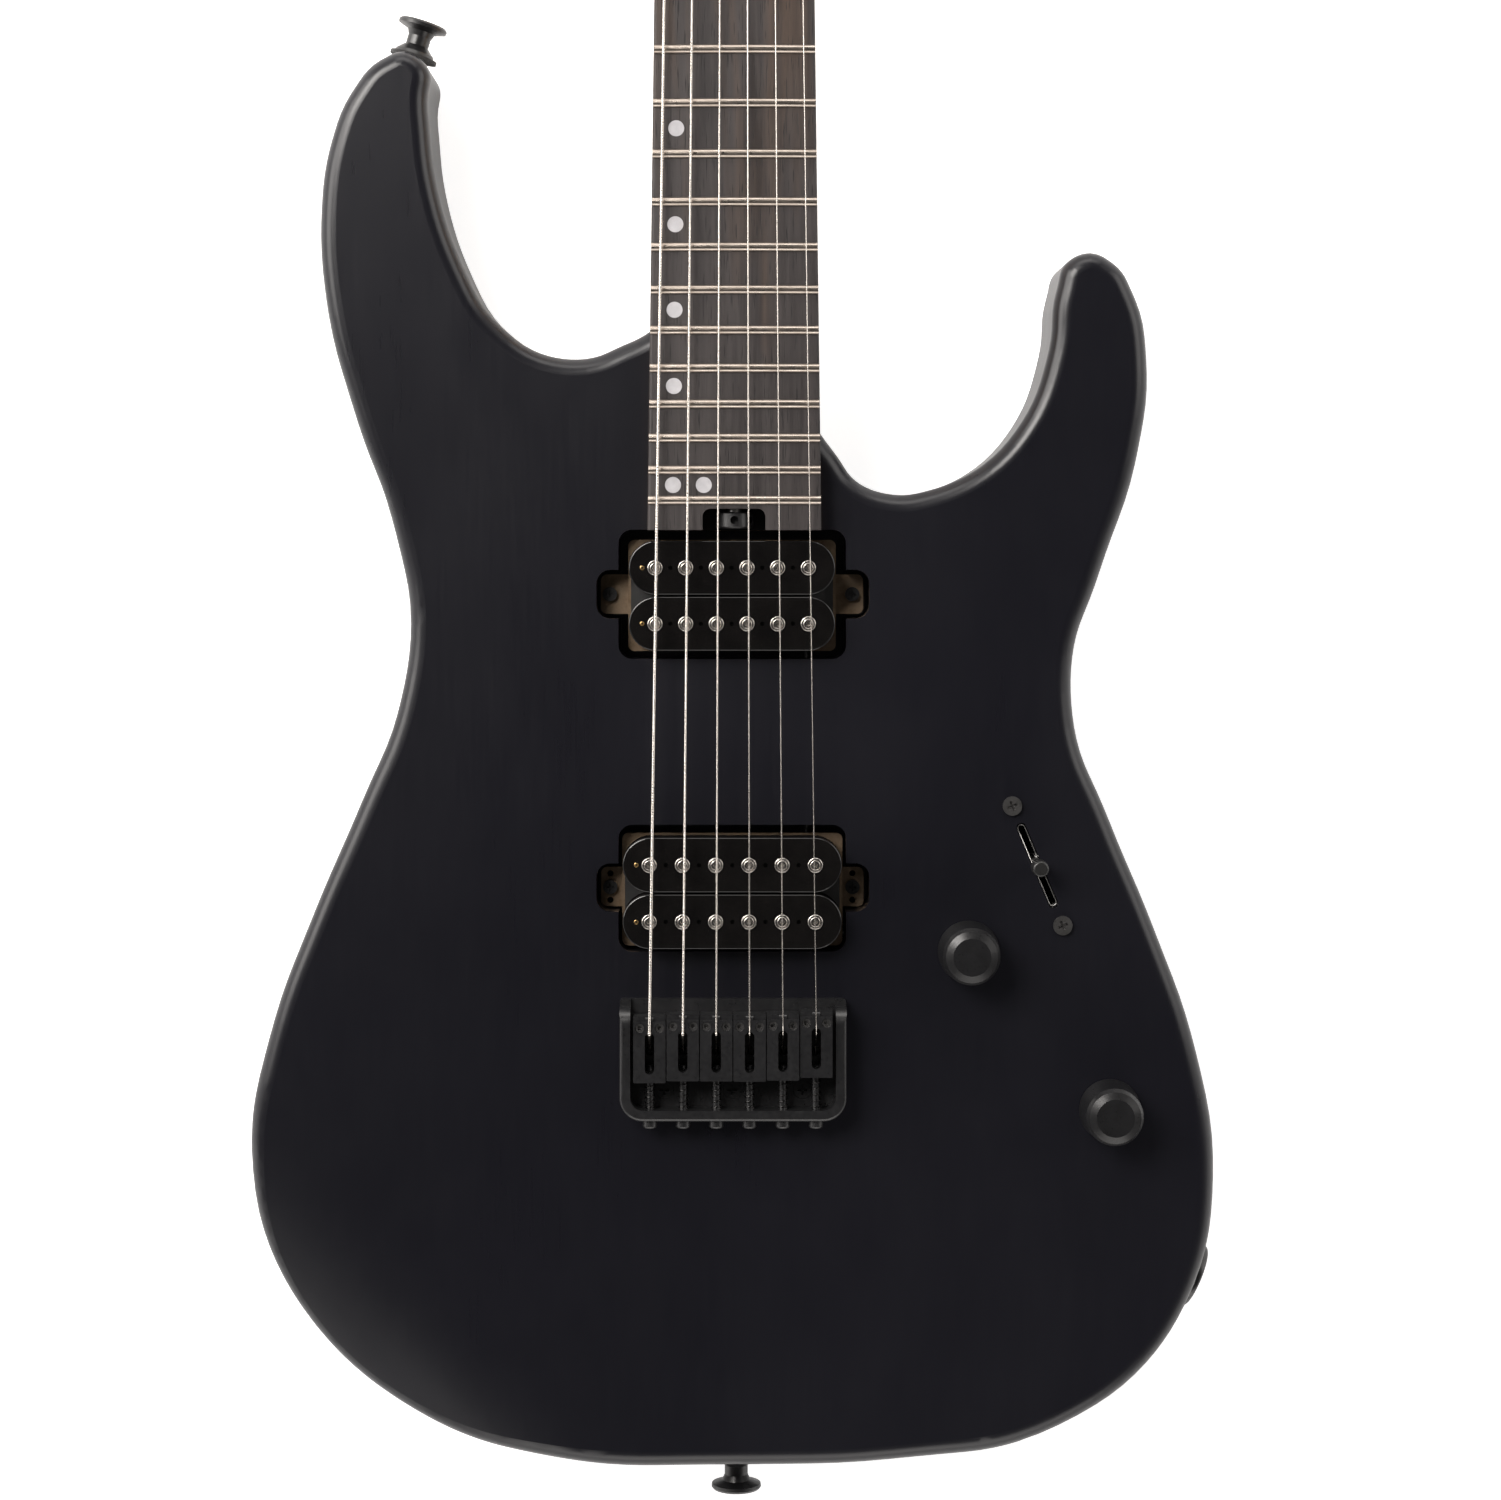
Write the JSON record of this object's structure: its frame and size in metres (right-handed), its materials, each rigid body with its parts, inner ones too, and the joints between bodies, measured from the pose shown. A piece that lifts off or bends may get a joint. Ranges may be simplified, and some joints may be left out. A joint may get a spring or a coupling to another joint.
{
  "type": "electric guitar",
  "caption": "Solid-body electric guitar with deep cutaways, bolt-on neck, open-coil humbucking pickups, fixed bridge, blade selector and in-line tuners.",
  "frame": {"origin": "on the back face, under the line where the scale length ends, on the neck's centreline", "axes": "+Y towards the headstock, +X to the treble side, +Z out of the top face"},
  "size_m": [0.3117, 1.0007, 0.062],
  "materials": {
    "satin_black_body": "satin black lacquer over wood",
    "maple_neck": "oiled maple, satin",
    "dark_fingerboard": "unlacquered dark rosewood-like wood",
    "fret_wire": "polished nickel silver",
    "white_dot": "pale pearloid-free plastic",
    "nut_plastic": "black graphite-filled plastic",
    "black_metal": "satin black plating",
    "steel": "bright steel",
    "string_steel": "nickel-wound and plain steel wire",
    "bobbin_plastic": "gloss black plastic",
    "coil_tape": "black coil tape",
    "nickel_silver": "brownish nickel silver",
    "pole_steel": "nickel-plated screws",
    "control_parts": "pressed metal cans",
    "knob_black": "satin black",
    "tip_plastic": "black plastic",
    "cover_plastic": "black plastic, fine texture",
    "felt": "black felt",
    "wire_insulation": "black insulated wire"
  },
  "bodies": {
    "guitar_body": {"body": "satin_black_body", "neck": "maple_neck", "fingerboard": "dark_fingerboard", "frets": "fret_wire", "position_dots": "white_dot", "nut": "nut_plastic", "truss_rod": "steel", "neck_screws": "black_metal", "neck_ferrules": "black_metal", "string_retainer": "black_metal", "small_screws": "black_metal", "tuner_housings": "black_metal", "tuner_bushings": "black_metal", "strings": "string_steel", "string_ferrules": "black_metal", "bridge_plate": "black_metal", "large_screws": "black_metal", "intonation_screws": "black_metal", "intonation_springs": "steel", "pickup_springs": "steel", "pots": "control_parts", "panel_nuts": "steel", "selector_frame": "steel", "selector_screws": "black_metal", "control_cover": "cover_plastic", "output_jack": "black_metal", "strap_buttons": "black_metal", "strap_washers": "felt", "wiring": "wire_insulation"},
    "tuner_button_1": {"tuner_button_1": "black_metal"},
    "tuner_post_1": {"tuner_post_1": "black_metal"},
    "saddle_1": {"saddle_1": "black_metal"},
    "tuner_button_2": {"tuner_button_2": "black_metal"},
    "tuner_post_2": {"tuner_post_2": "black_metal"},
    "saddle_2": {"saddle_2": "black_metal"},
    "tuner_button_3": {"tuner_button_3": "black_metal"},
    "tuner_post_3": {"tuner_post_3": "black_metal"},
    "saddle_3": {"saddle_3": "black_metal"},
    "tuner_button_4": {"tuner_button_4": "black_metal"},
    "tuner_post_4": {"tuner_post_4": "black_metal"},
    "saddle_4": {"saddle_4": "black_metal"},
    "tuner_button_5": {"tuner_button_5": "black_metal"},
    "tuner_post_5": {"tuner_post_5": "black_metal"},
    "saddle_5": {"saddle_5": "black_metal"},
    "tuner_button_6": {"tuner_button_6": "black_metal"},
    "tuner_post_6": {"tuner_post_6": "black_metal"},
    "saddle_6": {"saddle_6": "black_metal"},
    "volume_control": {"volume_knob": "knob_black"},
    "tone_control": {"tone_knob": "knob_black"},
    "selector": {"selector_lever": "steel", "selector_tip": "tip_plastic"},
    "truss_wheel": {"truss_wheel": "black_metal"},
    "neck_pickup": {"neck_pickup_bobbins": "bobbin_plastic", "neck_pickup_coils": "coil_tape", "neck_pickup_screws": "pole_steel", "neck_pickup_baseplate": "nickel_silver"},
    "bridge_pickup": {"bridge_pickup_bobbins": "bobbin_plastic", "bridge_pickup_coils": "coil_tape", "bridge_pickup_screws": "pole_steel", "bridge_pickup_baseplate": "nickel_silver"}
  },
  "joints": [
    {"name": "tuner_button_1_turn", "type": "hinge", "parent": "guitar_body", "child": "tuner_button_1", "pos_m": [-0.01928, 0.68568, 0.0256], "axis": [-0.9626, 0.2711, 0], "continuous": true},
    {"name": "tuner_post_1_turn", "type": "hinge", "parent": "guitar_body", "child": "tuner_post_1", "pos_m": [-0.02088, 0.68, 0.0514], "axis": [0, 0, 1], "continuous": true},
    {"name": "saddle_1_slide", "type": "slide", "parent": "guitar_body", "child": "saddle_1", "axis": [0, 1, 0], "range_m": [-0.0045, 0.0025], "deforming": ["strings", "intonation_springs"]},
    {"name": "tuner_button_2_turn", "type": "hinge", "parent": "guitar_body", "child": "tuner_button_2", "pos_m": [-0.01212, 0.71068, 0.0256], "axis": [-0.9626, 0.2711, 0], "continuous": true},
    {"name": "tuner_post_2_turn", "type": "hinge", "parent": "guitar_body", "child": "tuner_post_2", "pos_m": [-0.01372, 0.705, 0.0514], "axis": [0, 0, 1], "continuous": true},
    {"name": "saddle_2_slide", "type": "slide", "parent": "guitar_body", "child": "saddle_2", "axis": [0, 1, 0], "range_m": [-0.0045, 0.0025], "deforming": ["strings", "intonation_springs"]},
    {"name": "tuner_button_3_turn", "type": "hinge", "parent": "guitar_body", "child": "tuner_button_3", "pos_m": [-0.00495, 0.73568, 0.0256], "axis": [-0.9626, 0.2711, 0], "continuous": true},
    {"name": "tuner_post_3_turn", "type": "hinge", "parent": "guitar_body", "child": "tuner_post_3", "pos_m": [-0.00655, 0.73, 0.0514], "axis": [0, 0, 1], "continuous": true},
    {"name": "saddle_3_slide", "type": "slide", "parent": "guitar_body", "child": "saddle_3", "axis": [0, 1, 0], "range_m": [-0.0045, 0.0025], "deforming": ["strings", "intonation_springs"]},
    {"name": "tuner_button_4_turn", "type": "hinge", "parent": "guitar_body", "child": "tuner_button_4", "pos_m": [0.0022, 0.76068, 0.0256], "axis": [-0.9626, 0.2711, 0], "continuous": true},
    {"name": "tuner_post_4_turn", "type": "hinge", "parent": "guitar_body", "child": "tuner_post_4", "pos_m": [0.0006, 0.755, 0.0514], "axis": [0, 0, 1], "continuous": true},
    {"name": "saddle_4_slide", "type": "slide", "parent": "guitar_body", "child": "saddle_4", "axis": [0, 1, 0], "range_m": [-0.0045, 0.0025], "deforming": ["strings", "intonation_springs"]},
    {"name": "tuner_button_5_turn", "type": "hinge", "parent": "guitar_body", "child": "tuner_button_5", "pos_m": [0.00929, 0.78568, 0.0256], "axis": [-0.9626, 0.2711, 0], "continuous": true},
    {"name": "tuner_post_5_turn", "type": "hinge", "parent": "guitar_body", "child": "tuner_post_5", "pos_m": [0.00769, 0.78, 0.0514], "axis": [0, 0, 1], "continuous": true},
    {"name": "saddle_5_slide", "type": "slide", "parent": "guitar_body", "child": "saddle_5", "axis": [0, 1, 0], "range_m": [-0.0045, 0.0025], "deforming": ["strings", "intonation_springs"]},
    {"name": "tuner_button_6_turn", "type": "hinge", "parent": "guitar_body", "child": "tuner_button_6", "pos_m": [0.01637, 0.81068, 0.0256], "axis": [-0.9626, 0.2711, 0], "continuous": true},
    {"name": "tuner_post_6_turn", "type": "hinge", "parent": "guitar_body", "child": "tuner_post_6", "pos_m": [0.01477, 0.805, 0.0514], "axis": [0, 0, 1], "continuous": true},
    {"name": "saddle_6_slide", "type": "slide", "parent": "guitar_body", "child": "saddle_6", "axis": [0, 1, 0], "range_m": [-0.0045, 0.0025], "deforming": ["strings", "intonation_springs"]},
    {"name": "volume_turn", "type": "hinge", "parent": "guitar_body", "child": "volume_control", "pos_m": [0.0752, 0.0171, 0.05], "axis": [0, 0, 1], "range_deg": [-140, 140]},
    {"name": "tone_turn", "type": "hinge", "parent": "guitar_body", "child": "tone_control", "pos_m": [0.1206, -0.0338, 0.05], "axis": [0, 0, 1], "range_deg": [-140, 140]},
    {"name": "selector_tilt", "type": "hinge", "parent": "guitar_body", "child": "selector", "pos_m": [0.0974, 0.0446, 0.029], "axis": [0.9212, 0.3891, 0], "range_deg": [-28, 28]},
    {"name": "truss_wheel_turn", "type": "hinge", "parent": "guitar_body", "child": "truss_wheel", "pos_m": [0, 0.1556, 0.0454], "axis": [0, 1, 0], "range_deg": [-180, 180]},
    {"name": "neck_pickup_height", "type": "slide", "parent": "guitar_body", "child": "neck_pickup", "axis": [0, 0, 1], "range_m": [-0.0025, 0.0015], "deforming": ["pickup_springs", "wiring"]},
    {"name": "bridge_pickup_height", "type": "slide", "parent": "guitar_body", "child": "bridge_pickup", "axis": [0, 0, 1], "range_m": [-0.0025, 0.0015], "deforming": ["pickup_springs", "wiring"]}
  ],
  "couplings": [
    {"joint": "tuner_post_1_turn", "follows": "tuner_button_1_turn", "ratio": 0.055556},
    {"joint": "tuner_post_2_turn", "follows": "tuner_button_2_turn", "ratio": 0.055556},
    {"joint": "tuner_post_3_turn", "follows": "tuner_button_3_turn", "ratio": 0.055556},
    {"joint": "tuner_post_4_turn", "follows": "tuner_button_4_turn", "ratio": 0.055556},
    {"joint": "tuner_post_5_turn", "follows": "tuner_button_5_turn", "ratio": 0.055556},
    {"joint": "tuner_post_6_turn", "follows": "tuner_button_6_turn", "ratio": 0.055556}
  ]
}
